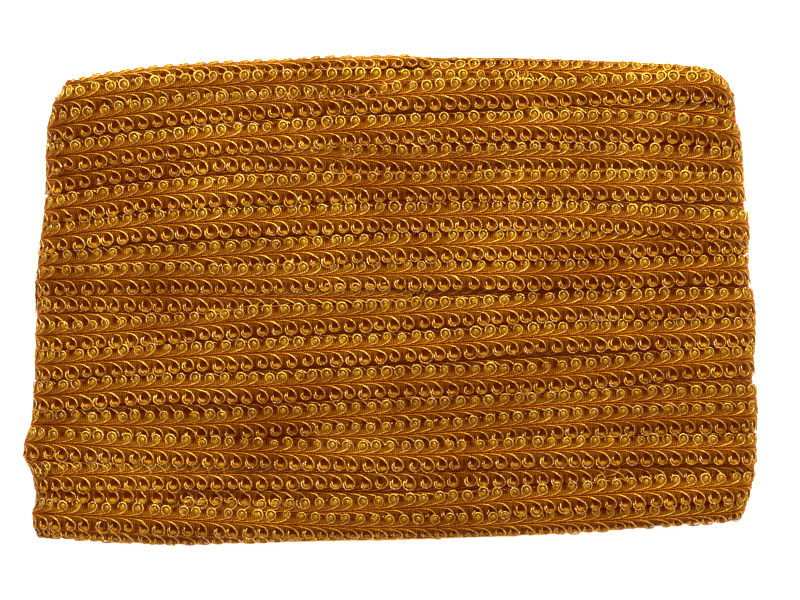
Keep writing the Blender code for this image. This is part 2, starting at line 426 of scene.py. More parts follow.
class BraidSizes(bpy.types.PropertyGroup):
    """Sizes of the braid's own loops and ribs."""

    pitch: bpy.props.FloatProperty(
        name="Loop pitch",
        description="Distance from one loop to the next along the braid",
        default=3.77 * MM,
        unit="LENGTH",
    )
    loop_share: bpy.props.FloatProperty(
        name="Loop size",
        description="Size of the loops as a share of the ones of an 8 mm braid",
        default=1.0,
        min=0.5,
        max=1.5,
        subtype="FACTOR",
    )
    thread: bpy.props.FloatProperty(
        name="Loop thread",
        description="Diameter of the film thread that makes the loops",
        default=0.40 * MM,
        unit="LENGTH",
    )
    inner_thread: bpy.props.FloatProperty(
        name="Inner thread",
        description="Diameter of the thinner thread that curls inside each loop",
        default=0.38 * MM,
        unit="LENGTH",
    )
    stagger: bpy.props.FloatProperty(
        name="Stagger",
        description="How far the near row of loops lies along from the far row, in pitches",
        default=0.48,
        min=0.0,
        max=1.0,
        subtype="FACTOR",
    )
    lean: bpy.props.FloatProperty(
        name="Lean",
        description="Rise of a turn's near side over its far side, for each unit of width",
        default=0.105,
    )


class BraidColours(bpy.types.PropertyGroup):
    """Colours of the braid's yarns."""

    film: bpy.props.FloatVectorProperty(
        name="Gilt film",
        description="Colour of the film thread at the outside of the loops",
        default=linear_from_hex("#F0CA46"),
        subtype="COLOR",
    )
    # Partly painted shade: the film's tone near the plait, also laid on the near loops' bottoms as
    # painted shade
    film_plait_and_shade: bpy.props.FloatVectorProperty(
        name="Gilt film at the plait",
        description="Colour of the film thread where it leaves the plait",
        default=linear_from_hex("#C88A24"),
        subtype="COLOR",
    )
    # Partly painted shade: the film deep in the plait, darkened for its shade as well as for the
    # core that shows there
    film_deep_in_shade: bpy.props.FloatVectorProperty(
        name="Gilt film in the plait",
        description="Colour of the film thread where it is plaited in",
        default=linear_from_hex("#8C4A0C"),
        subtype="COLOR",
    )
    core: bpy.props.FloatVectorProperty(
        name="Wrapped core",
        description="Colour of the wrapped yarn between the loops",
        default=linear_from_hex("#C08410"),
        subtype="COLOR",
    )
    core_deep: bpy.props.FloatVectorProperty(
        name="Core between its wraps",
        description="Colour of the core yarn between its wraps",
        default=linear_from_hex("#682402"),
        subtype="COLOR",
    )
    # Partly painted highlight: the bright yarn in a loop, painted brighter where its inner side
    # faces the light
    loop_core_and_highlight: bpy.props.FloatVectorProperty(
        name="Core of the loops",
        description="Colour of the bright yarn that fills a loop",
        default=linear_from_hex("#DCA814"),
        subtype="COLOR",
    )
    spine: bpy.props.FloatVectorProperty(
        name="Plaited spine",
        description="Colour of the plait along the middle of the braid",
        default=linear_from_hex("#7E3203"),
        subtype="COLOR",
    )
    # Painted shade: the darkening of the core in the hollows inside and beside the loops
    hollow: bpy.props.FloatVectorProperty(
        name="Hollows",
        description="Colour of the core deep inside a loop",
        default=linear_from_hex("#541400"),
        subtype="COLOR",
    )
    # Painted shade: the inner layers' yarn coloured as it looks deep in the gaps
    depths_in_shade: bpy.props.FloatVectorProperty(
        name="Inner layers",
        description="Colour of the layers beneath, seen in the gaps",
        default=linear_from_hex("#84300A"),
        subtype="COLOR",
    )


class StageSettings(bpy.types.PropertyGroup):
    """The floor, lights and camera."""

    floor: bpy.props.FloatVectorProperty(
        name="Floor",
        description="Colour of the plain floor",
        default=linear_from_hex("#F4F4F2"),
        subtype="COLOR",
    )
    lens: bpy.props.FloatProperty(
        name="Lens",
        description="Focal length of the camera, on a 36 mm sensor",
        default=150.0,
        unit="CAMERA",
    )
    width_seen: bpy.props.FloatProperty(
        name="Width seen",
        description="Width of the view, a little under the bundle's upper face",
        default=206.4 * MM,
        unit="LENGTH",
    )


# Film: the colour of its painted glints, where it has dulled, and its painted shade where a crinkle
# turns from the light
FILM_PAINTED_GLINT = linear_from_hex("#F8E4CA")
FILM_DULL = linear_from_hex("#CCB282")
FILM_SHADED = linear_from_hex("#A8844C")

# Yarn where it gleams, where it has dulled, and the painted shade of the inner layers in the deepest
# gaps
CORE_GLINT = linear_from_hex("#FFC866")
CORE_DULL = linear_from_hex("#D2C2B0")
DEEPEST = linear_from_hex("#641804")

# Painted glow: a faint red emission from the yarns that stands in for the light passed from thread
# to thread, which lifts their shade
PAINTED_GLOW = {"Emission Color": linear_from_hex("#FF4A00"), "Emission Strength": 0.040}

# How a mix of two colours is set: the second over the first, or multiplied with it
BLENDED = {"data_type": "RGBA"}
MULTIPLIED = {"data_type": "RGBA", "blend_type": "MULTIPLY"}


def add_node(tree, kind, settings=None, links=None):
    """Add one shader node with its settings, colours without alpha, and its links.

    A link comes from a socket, or from a node's first output in use.
    """
    node = tree.nodes.new("ShaderNode" + kind)
    for name, value in (settings or {}).items():
        if isinstance(name, str) and hasattr(node, name):
            setattr(node, name, value)
        else:
            entry = node.inputs[name]
            entry.default_value = (*value, 1.0) if entry.type == "RGBA" else value
    for name, source in (links or {}).items():
        if isinstance(source, bpy.types.Node):
            source = next(socket for socket in source.outputs if socket.enabled)
        tree.links.new(source, node.inputs[name])
    return node


def new_material(name):
    """An empty material, and the tree that holds its nodes."""
    material = bpy.data.materials.new(name)
    material.use_nodes = True
    tree = material.node_tree
    tree.nodes.clear()
    return material, tree


def braid_places(tree):
    """The place along the braid in pitches, across it in half widths, and in the bundle."""
    lay = add_node(tree, "UVMap", {"uv_map": "lay"})
    parts = add_node(tree, "SeparateXYZ", links={"Vector": lay})
    return parts.outputs["X"], parts.outputs["Y"], add_node(tree, "TexCoord").outputs["Object"]


def dulled(tree, place, colour, dull_colour, detail, roughness, share):
    """The colour with patches some 20 mm across where it has dulled."""
    grain = {"Scale": 1.0 / (22.0 * MM), "Detail": detail, "Roughness": roughness}
    patches = add_node(tree, "TexNoise", grain, {"Vector": place})
    edges = {"From Min": share, "From Max": 1.0 - share}
    dull = add_node(tree, "MapRange", edges, {"Value": patches})
    return add_node(tree, "Mix", {**MULTIPLIED, 7: dull_colour}, {0: dull, 6: colour})


def gilt_film_material():
    """Metallised polyester film wound on a thread: a bright, slightly broken gold gleam."""
    colours = bpy.context.scene.braid_colours
    material, tree = new_material("gilt_film_thread")
    _, across, place = braid_places(tree)

    # Darker where it is plaited in, partly painted shade there, and painted shade towards the
    # bottoms of the near loops, so that their shoulders stay brightest
    width = add_node(tree, "MapRange", {"From Min": -1.05, "From Max": 0.95}, {"Value": across})
    ramp = add_node(tree, "ValToRGB", links={"Fac": width})
    stops = (
        (0.05, colours.film_plait_and_shade),
        (0.26, colours.film),
        (0.42, colours.film),
        (0.47, colours.film_plait_and_shade),
        (0.505, colours.film_deep_in_shade),
        (0.55, colours.film_deep_in_shade),
        (0.59, colours.film_plait_and_shade),
        (0.66, colours.film),
    )
    elements = ramp.color_ramp.elements
    while len(elements) < len(stops):
        elements.new(0.5)
    for element, (position, shade) in zip(elements, stops):
        element.position = position
        element.color = (*shade, 1.0)
    colour = dulled(tree, place, ramp, FILM_DULL, 6.5, 0.74, 0.36)

    # Crinkles of the film: painted shade on those turned away from the light, and painted glints of
    # a near-white colour on some where the film is free
    grain = {"Scale": 1.0 / (0.35 * MM), "Detail": 2.0}
    crinkle = add_node(tree, "TexNoise", grain, {"Vector": place})
    away = add_node(tree, "MapRange", {"From Min": 0.46, "From Max": 0.36}, {"Value": crinkle})
    colour = add_node(tree, "Mix", {**MULTIPLIED, 7: FILM_SHADED}, {0: away, 6: colour})
    facet = add_node(tree, "MapRange", {"From Min": 0.60, "From Max": 0.67}, {"Value": crinkle})
    outwards = add_node(tree, "Math", {"operation": "ABSOLUTE"}, {0: across})
    free = add_node(tree, "MapRange", {"From Min": 0.15, "From Max": 0.3}, {"Value": outwards})
    painted_glint = add_node(tree, "Math", {"operation": "MULTIPLY"}, {0: facet, 1: free})
    colour = add_node(tree, "Mix", {**BLENDED, 7: FILM_PAINTED_GLINT}, {0: painted_glint, 6: colour})
    bump = add_node(tree, "Bump", {"Strength": 0.6, "Distance": 0.16 * MM}, {"Height": crinkle})
    rough = add_node(tree, "MapRange", {"To Min": 0.22, "To Max": 0.5}, {"Value": crinkle})
    look = {"Metallic": 0.9, "Specular Tint": CORE_GLINT, **PAINTED_GLOW}
    varied = {"Base Color": colour, "Roughness": rough, "Normal": bump}
    shader = add_node(tree, "BsdfPrincipled", look, varied)
    add_node(tree, "OutputMaterial", links={"Surface": shader})
    return material


# A spot of colour in every pitch of the ground, painted shade in the hollows and the bright loop
# fill
# that is partly a painted highlight: its place along it in pitches and across it in mm, half its
# width and height in mm, from which share of them it fades, and how strong it is
Spot = namedtuple("Spot", "along across half_wide half_tall fades_from strength colour")


def reach_from(tree, spot, along, across):
    """Distance from the nearest such spot's middle, 1 at the edge of its oval."""
    wide = sizes().pitch / (spot.half_wide * MM)
    tall = HALF_BRAID / (spot.half_tall * MM)
    moved = add_node(tree, "Math", {"operation": "SUBTRACT", 1: spot.along}, {0: along})
    near = add_node(tree, "Math", {"operation": "PINGPONG", 1: 0.5}, {0: moved})
    x = add_node(tree, "Math", {"operation": "MULTIPLY", 1: wide}, {0: near})
    scaling = {"operation": "MULTIPLY_ADD", 1: tall, 2: -spot.across / spot.half_tall}
    y = add_node(tree, "Math", scaling, {0: across})
    both = add_node(tree, "CombineXYZ", links={"X": x, "Y": y})
    return add_node(tree, "VectorMath", {"operation": "LENGTH"}, {0: both})


def ground_spots(colours):
    """Painted shade in the hollows inside and beside the loops, and the bright yarn that fills them,
    partly a painted highlight.
    """
    stagger = sizes().stagger
    return (
        Spot(0.0, -2.60, 99.0, 1.90, 0.55, 0.50, colours.hollow),
        Spot(0.0, 2.70, 99.0, 1.40, 0.50, 0.45, colours.hollow),
        Spot(0.0, 2.90, 0.90, 1.40, 0.50, 0.95, colours.hollow),
        Spot(0.5, 2.25, 0.70, 0.66, 0.30, 0.72, colours.loop_core_and_highlight),
        Spot(0.5 + stagger, -2.20, 1.15, 1.15, 0.70, 0.95, colours.hollow),
        Spot(0.5 + stagger, -3.50, 0.95, 0.62, 0.50, 0.95, colours.loop_core_and_highlight),
        Spot(stagger, -2.60, 0.55, 1.70, 0.50, 0.80, colours.hollow),
    )


def wrapped_core_material():
    """Viscose core wound with fine film: cross ribs with dark lines between, darker at the spine."""
    colours = bpy.context.scene.braid_colours
    material, tree = new_material("film_wrapped_viscose_core")
    along, across, place = braid_places(tree)

    # Wraps across the braid, laid a little unevenly
    grain = {"Scale": 1.0 / (1.6 * MM), "Detail": 3.0}
    wander = add_node(tree, "TexNoise", grain, {"Vector": place})
    turning = {"operation": "MULTIPLY", 1: 2.0 * math.pi * RIBS_PER_PITCH}
    turned = add_node(tree, "Math", turning, {0: along})
    uneven = add_node(tree, "Math", {"operation": "MULTIPLY_ADD", 1: 7.0}, {0: wander, 2: turned})
    wave = add_node(tree, "Math", {"operation": "SINE"}, {0: uneven})
    height = {"From Min": -1.0, "From Max": 1.0, "To Min": 0.05}
    rib = add_node(tree, "MapRange", height, {"Value": wave})
    yarn = {**BLENDED, 6: colours.core_deep, 7: colours.core}
    colour = add_node(tree, "Mix", yarn, {0: rib})

    # Painted shade in the hollows, and the bright loop fill with its painted highlight
    for spot in ground_spots(colours):
        fade = {"From Min": spot.fades_from, "From Max": 1.1, "To Min": spot.strength, "To Max": 0.0}
        reach = reach_from(tree, spot, along, across)
        inside = add_node(tree, "MapRange", fade, {"Value": reach})
        shade = {**BLENDED, 7: spot.colour}
        colour = add_node(tree, "Mix", shade, {0: inside, 6: colour})
    colour = dulled(tree, place, colour, CORE_DULL, 6.0, 0.7, 0.38)

    # The plait at the spine
    outwards = add_node(tree, "Math", {"operation": "ABSOLUTE"}, {0: across})
    fade = {"From Min": 0.10, "From Max": 0.26, "To Min": 1.0, "To Max": 0.0}
    near = add_node(tree, "MapRange", fade, {"Value": outwards})
    colour = add_node(tree, "Mix", {**BLENDED, 7: colours.spine}, {0: near, 6: colour})
    bump = add_node(tree, "Bump", {"Strength": 0.9, "Distance": 0.3 * MM}, {"Height": rib})
    look = {
        "Metallic": 0.35,
        "Roughness": 0.45,
        "Specular IOR Level": 0.05,
        "Subsurface Weight": 0.5,
        "Subsurface Radius": (1.0, 0.12, 0.02),
        "Subsurface Scale": 0.8 * MM,
        "Specular Tint": CORE_GLINT,
        **PAINTED_GLOW,
    }
    shader = add_node(tree, "BsdfPrincipled", look, {"Base Color": colour, "Normal": bump})
    add_node(tree, "OutputMaterial", links={"Surface": shader})
    return material


def inner_layers_material():
    """The same viscose yarn in deep shade: dull red-brown with a faint rib."""
    colours = bpy.context.scene.braid_colours
    material, tree = new_material("shaded_inner_braid")
    place = add_node(tree, "TexCoord").outputs["Object"]
    grain = {"Scale": 1.0 / (6.0 * MM), "Distortion": 2.0, "Detail": 2.0}
    rib = add_node(tree, "TexWave", grain, {"Vector": place}).outputs["Fac"]
    yarn = {**BLENDED, 6: DEEPEST, 7: colours.depths_in_shade}
    colour = add_node(tree, "Mix", yarn, {0: rib})
    bump = add_node(tree, "Bump", {"Strength": 0.8, "Distance": 0.4 * MM}, {"Height": rib})
    look = {"Roughness": 0.7, "Specular IOR Level": 0.05, **PAINTED_GLOW, "Emission Strength": 0.045}
    shader = add_node(tree, "BsdfPrincipled", look, {"Base Color": colour, "Normal": bump})
    add_node(tree, "OutputMaterial", links={"Surface": shader})
    return material


def lit_acrylic_material(colour):
    """Opal acrylic lit from below: an even white with hardly a shadow."""
    material, tree = new_material("lit_opal_acrylic")
    lit = {"Emission Color": colour, "Emission Strength": 0.69}
    shader = add_node(tree, "BsdfPrincipled", {"Base Color": colour, "Roughness": 0.9, **lit})
    add_node(tree, "OutputMaterial", links={"Surface": shader})
    return material


# The braid's own section, from its far edge over the face and back underneath: v and h in mm
Corner = namedtuple("Corner", "v h")
GROUND_SECTION = (
    Corner(3.35, -0.75),
    Corner(2.30, -0.46),
    Corner(0.85, -0.48),
    Corner(0.00, -0.60),
    Corner(-0.75, -0.48),
    Corner(-2.40, -0.46),
    Corner(-4.00, -0.60),
    Corner(-3.00, -1.40),
    Corner(2.50, -1.40),
)

# Corners of the section that follow the loops outwards, and the ones that sink inside them
EDGES = (GROUND_SECTION[0], GROUND_SECTION[6])
HOLLOWS = (GROUND_SECTION[1], GROUND_SECTION[5])
EDGE_WAVE = 0.08
EDGE_DRAWN_IN = 0.07
HOLLOW_DEPTH = 0.14 * MM
FAR_HOLLOW = -0.9

# The way of one loop's thread in mm, out of the plaited spine and round: along, across and out
FAR_LOOP = (
    (-7.4, 0.04, -0.95),
    (-6.0, 0.10, -0.46),
    (-3.9, 0.26, -0.36),
    (-1.7, 0.46, -0.32),
    (-0.45, 0.78, -0.28),
    (0.50, 1.20, -0.24),
    (1.08, 1.85, -0.22),
    (1.14, 2.60, -0.22),
    (0.72, 3.30, -0.26),
    (-0.04, 3.58, -0.32),
    (-0.80, 3.30, -0.38),
    (-1.12, 2.60, -0.42),
    (-1.00, 1.85, -0.48),
    (-0.48, 1.25, -0.60),
    (0.15, 0.98, -0.85),
)
NEAR_LOOP = (
    (-7.0, -0.04, -0.95),
    (-5.7, -0.12, -0.42),
    (-3.6, -0.28, -0.34),
    (-1.8, -0.42, -0.28),
    (-0.55, -0.66, -0.23),
    (0.50, -1.18, -0.20),
    (1.24, -2.02, -0.20),
    (1.50, -2.92, -0.22),
    (1.06, -3.80, -0.28),
    (0.04, -4.22, -0.36),
    (-0.94, -3.94, -0.44),
    (-1.36, -3.30, -0.50),
    (-1.30, -2.62, -0.58),
    (-1.00, -2.05, -0.85),
)

# The knots that a loop keeps in the plain repeat
PLAIN_KNOTS = (0, 2, 4, 6, 7, 8, 9, 10, 11, 12)

# The thinner thread that curls inside a loop
FAR_CURL = ((0.42, 1.75, -0.55), (0.45, 2.35, -0.36), (0.15, 2.85, -0.36), (-0.30, 2.75, -0.50))
NEAR_CURL = (
    (-0.72, -1.80, -0.62),
    (-0.86, -2.40, -0.36),
    (-0.78, -3.05, -0.32),
    (-0.40, -3.50, -0.40),
    (0.20, -3.66, -0.62),
)


def deselect_all():
    bpy.ops.object.select_all(action="DESELECT")


def close_up():
    """Merge the active mesh's doubles and turn its faces outwards."""
    bpy.ops.object.mode_set(mode="EDIT")
    bpy.ops.mesh.select_all(action="SELECT")
    bpy.ops.mesh.remove_doubles(threshold=1e-6)
    bpy.ops.mesh.normals_make_consistent(inside=False)
    bpy.ops.object.mode_set(mode="OBJECT")


def tube_through(points, diameter):
    """A closed four-sided tube of thread through the points."""
    deselect_all()
    bpy.ops.curve.primitive_bezier_curve_add()
    tube = bpy.context.object
    tube.data.splines.clear()
    spline = tube.data.splines.new("POLY")
    spline.points.add(len(points) - 1)
    for knot, point in zip(spline.points, points):
        knot.co = (*point, 1.0)
    tube.data.bevel_depth = diameter / 2.0
    tube.data.bevel_resolution = 0
    tube.data.use_fill_caps = True
    bpy.ops.object.convert(target="MESH")
    close_up()
    bpy.ops.object.shade_smooth()
    return bpy.context.object


def in_row(knots, shift):
    """Knots in mm as points in metres, moved along the braid by a share of the pitch."""
    share = sizes().loop_share
    return [
        (s * share * MM + shift * sizes().pitch, v * share * MM, h * MM) for s, v, h in knots
    ]


def join(pieces, name):
    deselect_all()
    for piece in pieces:
        piece.select_set(True)
    bpy.context.view_layer.objects.active = pieces[0]
    bpy.ops.object.join()
    piece = bpy.context.object
    piece.name = name
    piece.data.name = name
    return piece


def loop_pair(name, plain):
    """One repeat of the threads: a loop of the far row and one of the near row."""
    pieces = []
    rows = ((FAR_LOOP, FAR_CURL, 0.5), (NEAR_LOOP, NEAR_CURL, 0.5 + sizes().stagger))
    for loop, curl, shift in rows:
        if plain:
            loop = [loop[index] for index in PLAIN_KNOTS]
        pieces.append(tube_through(in_row(loop, shift), sizes().thread))
        if not plain:
            pieces.append(tube_through(in_row(curl, shift), sizes().inner_thread))
    return join(pieces, name)


def ground_repeat(name, columns):
    """One repeat of the wrapped ground that the loops lie on: a flat tube with scalloped edges."""
    pitch = sizes().pitch
    sides = len(GROUND_SECTION)
    deselect_all()
    bpy.ops.mesh.primitive_cylinder_add(
        vertices=sides,
        radius=1.0,
        depth=pitch,
        end_fill_type="NOTHING",
        rotation=(0.0, math.pi / 2.0, 0.0),
        location=(pitch / 2.0, 0.0, 0.0),
    )
    bpy.ops.object.transform_apply(location=True, rotation=True, scale=True)
    bpy.ops.object.shade_smooth()
    ground = bpy.context.object
    bpy.ops.object.mode_set(mode="EDIT")
    bpy.ops.mesh.select_mode(type="EDGE")
    bpy.ops.mesh.select_all(action="DESELECT")
    bpy.ops.object.mode_set(mode="OBJECT")
    for edge in ground.data.edges:
        ends = [ground.data.vertices[index].co for index in edge.vertices]
        edge.select = abs(ends[0].x - ends[1].x) > 0.5 * pitch
    bpy.ops.object.mode_set(mode="EDIT")
    bpy.ops.mesh.mark_sharp()
    bpy.ops.mesh.subdivide(number_cuts=columns - 1)
    bpy.ops.object.mode_set(mode="OBJECT")
    first = math.atan2(ground.data.vertices[0].co.z, ground.data.vertices[0].co.y)
    for point in ground.data.vertices:
        angle = (math.atan2(point.co.z, point.co.y) - first) % (2.0 * math.pi)
        corner = GROUND_SECTION[round(angle / (2.0 * math.pi) * sides) % sides]
        shift = 0.5 if corner.v > 0.0 else 0.5 + sizes().stagger
        phase = math.cos(2.0 * math.pi * (point.co.x / pitch - shift))
        scallop = 1.0 + (EDGE_WAVE * phase - EDGE_DRAWN_IN if corner in EDGES else 0.0)
        hollow = HOLLOW_DEPTH * (1.0 + phase) if corner in HOLLOWS else 0.0
        if corner.v > 0.0:
            hollow = FAR_HOLLOW * hollow
        point.co.y = corner.v * MM * scallop
        point.co.z = corner.h * MM - hollow
    ground.name = name
    ground.data.name = name
    close_up()
    return ground


def run_of(repeat, count, merge):
    """A copy of one repeat, repeated along the braid."""
    run = repeat.copy()
    run.data = repeat.data.copy()
    bpy.context.scene.collection.objects.link(run)
    deselect_all()
    run.select_set(True)
    bpy.context.view_layer.objects.active = run
    array = run.modifiers.new("repeats", "ARRAY")
    array.count = count
    array.use_relative_offset = False
    array.use_constant_offset = True
    array.constant_offset_displace = (sizes().pitch, 0.0, 0.0)
    array.use_merge_vertices = merge
    array.merge_threshold = 1e-5
    bpy.ops.object.modifier_apply(modifier=array.name)
    if merge:
        bpy.ops.object.mode_set(mode="EDIT")
        bpy.ops.mesh.select_all(action="SELECT")
        bpy.ops.mesh.fill_holes(sides=0)
        bpy.ops.object.mode_set(mode="OBJECT")
    return run


def points_of(mesh):
    flat = np.empty(len(mesh.vertices) * 3, dtype=np.float32)
    mesh.vertices.foreach_get("co", flat)
    return flat.reshape(-1, 3).astype(float)


def shake_loops(points, count, rng):
    """Move, turn and scale each repeat's loops a little, as loosely thrown loops lie."""
    each = points.reshape(count, -1, 3)
    pitch = sizes().pitch
    for side, shift in ((1.0, 0.5), (-1.0, 0.5 + sizes().stagger)):
        row = each[:, :, 1] * side > 0.0
        centre_s = ((np.arange(count) + shift) * pitch)[:, None]
        centre_v = side * LOOP_MIDDLE
        loose = smooth_step(np.abs(each[:, :, 1]), FIXED_WITHIN, LOOSE_BEYOND)
        turn = rng.normal(0.0, TURN_SPREAD, (count, 1)) * loose
        scale = 1.0 + rng.normal(0.0, SIZE_SPREAD, (count, 1)) * loose
        ds = (each[:, :, 0] - centre_s) * scale
        dv = (each[:, :, 1] - centre_v) * scale
        along = centre_s + ds * np.cos(turn) - dv * np.sin(turn)
        across = centre_v + ds * np.sin(turn) + dv * np.cos(turn)
        moved = np.stack((along, across, each[:, :, 2]), axis=-1)
        drift = rng.normal(0.0, 1.0, (count, 1, 3)) * PLACE_SPREAD
        moved = moved + drift * loose[:, :, None]
        each = np.where(row[:, :, None], moved, each)
    return each.reshape(-1, 3)


def lay_run(run, material, points, along, path, rise):
    """Give a run of braid its UV map in pitches and half widths, and lay it on its path."""
    mesh = run.data
    corners = np.empty(len(mesh.loops), dtype=np.int32)
    mesh.loops.foreach_get("vertex_index", corners)
    lay = np.stack((points[:, 0] / sizes().pitch, points[:, 1] / HALF_BRAID), axis=-1)
    while mesh.uv_layers:
        mesh.uv_layers.remove(mesh.uv_layers[0])
    uv = mesh.uv_layers.new(name="lay")
    uv.uv.foreach_set("vector", lay[corners].astype(np.float32).ravel())
    points[:, 0] = along
    laid = path.lay(points, rise)
    mesh.vertices.foreach_set("co", laid.astype(np.float32).ravel())
    mesh.materials.clear()
    mesh.materials.append(material)
    mesh.update()


def braid_run(repeats, s_from, s_to, path, rise, rng):
    """The threads and the ground of one run of braid, between two places on its path."""
    pitch = sizes().pitch
    count = max(1, round((s_to - s_from) / pitch))
    stretch = (s_to - s_from) / (count * pitch)
    threads = run_of(repeats.threads, count, False)
    points = shake_loops(points_of(threads.data), count, rng)
    own = (np.repeat(np.arange(count), len(points) // count) + 0.5) * pitch
    lay_run(threads, repeats.film, points, s_from + own * stretch + points[:, 0] - own, path, rise)
    ground = run_of(repeats.ground, count, True)
    points = points_of(ground.data)
    lay_run(ground, repeats.core, points, s_from + points[:, 0] * stretch, path, rise)
    return [threads, ground]


Repeats = namedtuple("Repeats", "threads ground film core")


def dip_of(number, x):
    """How deep one turn dives under its neighbours, and how much it is tilted, at every x."""
    depth = np.zeros_like(x)
    tilt = np.zeros_like(x)
    for dip in DIPS:
        if dip.turn == number:
            share = smooth_step(x, dip.from_x * MM - DIP_RUN, dip.from_x * MM)
            share = share * smooth_step(-x, -dip.to_x * MM - DIP_RUN, -dip.to_x * MM)
            depth = depth + dip.depth * MM * share
            tilt = tilt + dip.tilt * share
    return depth, tilt


def settle_turns():
    """How far each turn sinks at each station, because the turn beyond it lies on its edge."""
    sunk = np.zeros(len(STATIONS))
    above = np.full(len(STATIONS), np.inf)
    all_sunk = []
    for number, turn in enumerate(TURNS, start=1):
        heights = spine_heights(turn)
        crowded = np.clip((FULL_SPACING - (above - heights)) * CROWDING, 0.0, MOST_CROWDED)
        settled = np.minimum(sunk + MADE_UP, 0.0) - crowded
        all_sunk.append(settled)
        hidden = dip_of(number, STATIONS)[0] > HIDDEN_DEPTH
        sunk = np.where(hidden, sunk, settled)
        above = np.where(hidden, above, heights)
    return all_sunk


def waves(rng, low, high):
    """A slow wander along s, as the sum of a few waves between two lengths."""
    parts = [
        (2.0 * math.pi / rng.uniform(low, high), rng.uniform(0.0, 2.0 * math.pi))
        for _ in range(4)
    ]
    return lambda s: sum(np.sin(s * rate + phase) for rate, phase in parts) / 4.0


def rise_of_turn(path, sunk, number, rng, depth=0.0):
    """How far a turn stands over the skin: its lean, its dips under others and a slow wander."""
    lean = sizes().lean
    wander = waves(rng, *WANDER_LENGTHS)

    def rise(s, v):
        x, up = path.place(s)
        upper = smooth_step(up, -UPPER_UNTIL, UPPER_UNTIL)
        dip, tilt = dip_of(number, x)
        dip = dip * eased(up, DIP_AT_FOLD)
        leaning = (lean - tilt * upper) * eased(up, LEAN_AT_FOLD)
        total = along_stations(sunk, x) - dip + WANDER_HEIGHT * wander(s)
        total = total * upper - leaning * (v + (1.0 - upper) * HALF_BRAID)
        return total + PROUD - depth * eased(up, DEPTH_AT_FOLD)

    return rise


def finish_piece(piece):
    """Make a piece part of the bundle, standing for the wound solid."""
    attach(piece, BODY)
    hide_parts(NODE)


def make_repeats():
    """The fine repeat for what shows and the plainer one for what lies under."""
    film = bpy.data.materials.get("gilt_film_thread") or gilt_film_material()
    core = bpy.data.materials.get("film_wrapped_viscose_core") or wrapped_core_material()
    fine = Repeats(loop_pair("fine_loops", False), ground_repeat("fine_ground", 6), film, core)
    plain = Repeats(loop_pair("plain_loops", True), ground_repeat("plain_ground", 4), film, core)
    return fine, plain


def clear_repeats(*groups):
    for group in groups:
        for piece in (group.threads, group.ground):
            bpy.data.objects.remove(piece, do_unlink=True)


class BRAID_OT_outer_turns(bpy.types.Operator):
    """Lay every turn of the bundle's outer layer"""

    bl_idname = "braid.outer_turns"
    bl_label = "Outer turns"

    def execute(self, context):
        fine, plain = make_repeats()
        rng = np.random.default_rng(SEED)
        settled = settle_turns()
        following = (*TURNS[1:], NEAR_EDGE)
        for number, (turn, after) in enumerate(zip(TURNS, following), start=1):
            path = path_of(turn, after)
            rise = rise_of_turn(path, settled[number - 1], number, rng)
            upper = braid_run(fine, 0.0, path.top_to + FOLD_HALF, path, rise, rng)
            under = braid_run(plain, path.top_to + FOLD_HALF, path.length, path, rise, rng)
            finish_piece(join(upper + under, f"braid_turn_{number:02d}"))
        lead_in = path_of(LEAD_IN, TURNS[0])
        rise = rise_of_turn(lead_in, np.zeros(len(STATIONS)), 0, rng)
        first = lead_in.top_to + LEAD_IN_START
        run = braid_run(plain, first, lead_in.length, lead_in, rise, rng)
        finish_piece(join(run, "braid_lead_in"))
        clear_repeats(fine, plain)
        return {"FINISHED"}


class BRAID_OT_sunken_turns(bpy.types.Operator):
    """Lay the turns of the layer beneath where they show in the gaps"""

    bl_idname = "braid.sunken_turns"
    bl_label = "Sunken turns"

    def execute(self, context):
        fine, plain = make_repeats()
        rng = np.random.default_rng(SEED + 1)
        flat = np.zeros(len(STATIONS))
        for number, turn in enumerate(SUNKEN_TURNS, start=1):
            heights = spine_heights(turn)
            left = np.interp(heights[0], *LEFT_FOLD)
            right = np.interp(heights[-1], *RIGHT_FOLD)
            path = Path(heights, heights, left, right, left)
            rise = rise_of_turn(path, flat, -number, rng, turn.depth * MM)
            first = -SUNKEN_LEFT
            last = path.under_from - SUNKEN_RIGHT
            if turn.from_x * MM > path.start:
                first = turn.from_x * MM - path.start + path.top_from
            if turn.to_x * MM < path.end:
                last = turn.to_x * MM - path.start + path.top_from
            run = braid_run(plain, first, last, path, rise, rng)
            finish_piece(join(run, f"sunken_turn_{number:02d}"))
        clear_repeats(fine, plain)
        return {"FINISHED"}


